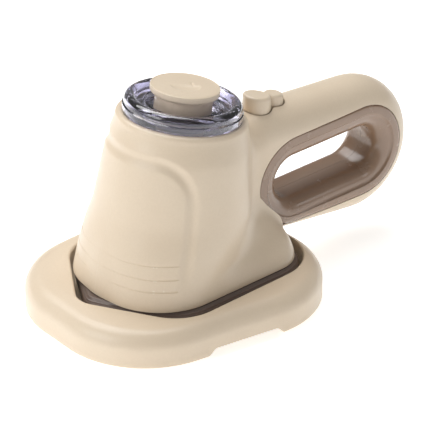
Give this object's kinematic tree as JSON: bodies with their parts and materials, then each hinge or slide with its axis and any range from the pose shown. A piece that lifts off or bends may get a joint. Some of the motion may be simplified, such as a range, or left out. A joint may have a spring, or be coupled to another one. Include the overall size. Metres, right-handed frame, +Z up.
{
  "type": "handheld mini steam iron with docking base",
  "caption": "Handheld mini steam iron with a loop handle, a clear tank cover with a filler plug and a steam button, resting in its docking base.",
  "frame": {"origin": "middle of the whole object's footprint, on the surface that the docking base stands on", "axes": "+Z up, +X from the nose towards the handle, Y across"},
  "size_m": [0.2036, 0.1178, 0.1088],
  "materials": {
    "cream_plastic": "satin moulded, fine grain",
    "taupe_plastic": "satin to gloss moulded",
    "clear_plastic": "clear, polished",
    "smoke_plastic": "smoke tinted, polished",
    "aluminium": "satin cast",
    "steel": "satin",
    "silicone": "matt",
    "rubber": "matt",
    "black_plastic": "matt",
    "circuit_board": "solder mask"
  },
  "bodies": {
    "base": {"docking_base": "cream_plastic", "base_foot_1": "rubber", "base_foot_2": "rubber", "base_foot_3": "rubber", "base_foot_4": "rubber", "heat_rest_pad": "silicone"},
    "iron": {"left_housing": "cream_plastic", "right_housing": "cream_plastic", "sole_skirt": "taupe_plastic", "left_grip_liner": "taupe_plastic", "right_grip_liner": "taupe_plastic", "tank_cover": "clear_plastic", "water_tank": "smoke_plastic", "soleplate": "aluminium", "steam_chamber_wall": "aluminium", "steam_chamber_cover": "aluminium", "heating_element": "steel", "chamber_screw_1": "steel", "chamber_screw_2": "steel", "chamber_screw_3": "steel", "button_spring": "steel", "chamber_gasket": "silicone", "thermal_fuse": "silicone", "tank_seal": "silicone", "suction_hose": "silicone", "delivery_hose": "silicone", "cord_gland": "rubber", "thermostat": "black_plastic", "micro_switch": "black_plastic", "water_pump": "black_plastic", "circuit_board": "circuit_board"},
    "plug": {"filler_plug": "cream_plastic", "plug_seal": "silicone"},
    "button": {"steam_button": "cream_plastic"}
  },
  "joints": [
    {"name": "iron_lift", "type": "slide", "parent": "base", "child": "iron", "axis": [0, 0, 1], "range_m": [0, 0.05]},
    {"name": "plug_pull", "type": "slide", "parent": "iron", "child": "plug", "axis": [0.1435, 0, 0.9897], "range_m": [0, 0.03]},
    {"name": "button_press", "type": "slide", "parent": "iron", "child": "button", "axis": [0, 0, -1], "range_m": [0, 0.002], "stiffness_N_per_m": 400, "springref_m": -0.001, "deforming": ["button_spring"]}
  ]
}
